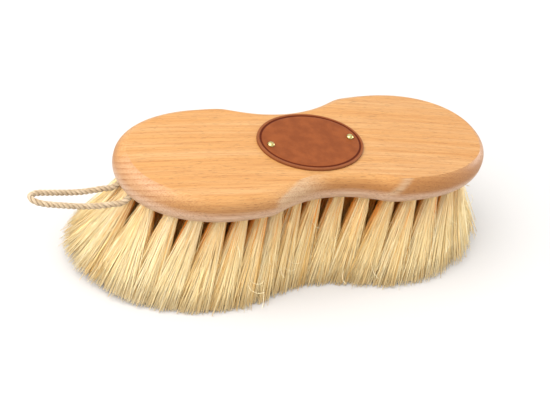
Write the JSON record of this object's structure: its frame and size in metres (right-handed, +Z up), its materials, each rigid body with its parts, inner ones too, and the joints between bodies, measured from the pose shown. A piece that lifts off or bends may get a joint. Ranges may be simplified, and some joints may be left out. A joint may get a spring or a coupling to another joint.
{
  "type": "flick brush",
  "caption": "Waisted wooden hand brush with rows of outward-leaning plant-fibre tufts, an oval pinned leather badge and a cord loop to hang it by.",
  "frame": {"origin": "on the surface that the tuft tips stand on, below the middle of the back", "axes": "+X along the back, away from the cord; +Y across it; +Z up, from the tips to the back"},
  "size_m": [0.2539, 0.0892, 0.0635],
  "materials": {
    "beech": "satin varnish over straight-grained beech",
    "fibre": "straw-coloured plant fibre",
    "leather": "brown smooth leather with a tooled line",
    "brass": "polished",
    "cord": "twisted natural-fibre cord"
  },
  "bodies": {
    "back": {"wooden_back": "beech", "outer_tuft_row": "fibre", "inner_tuft_row": "fibre", "centre_tufts_left": "fibre", "centre_tufts_right": "fibre", "leather_badge": "leather", "badge_pin_left": "brass", "badge_pin_right": "brass", "cord_end_front": "cord", "cord_end_back": "cord"},
    "loop": {"hanging_loop": "cord"}
  },
  "joints": [
    {"name": "loop_swing", "type": "hinge", "parent": "back", "child": "loop", "pos_m": [-0.103, 0, 0.0403], "axis": [0, 1, 0], "range_deg": [-70, 90], "stiffness_Nm_per_rad": 0.01}
  ]
}
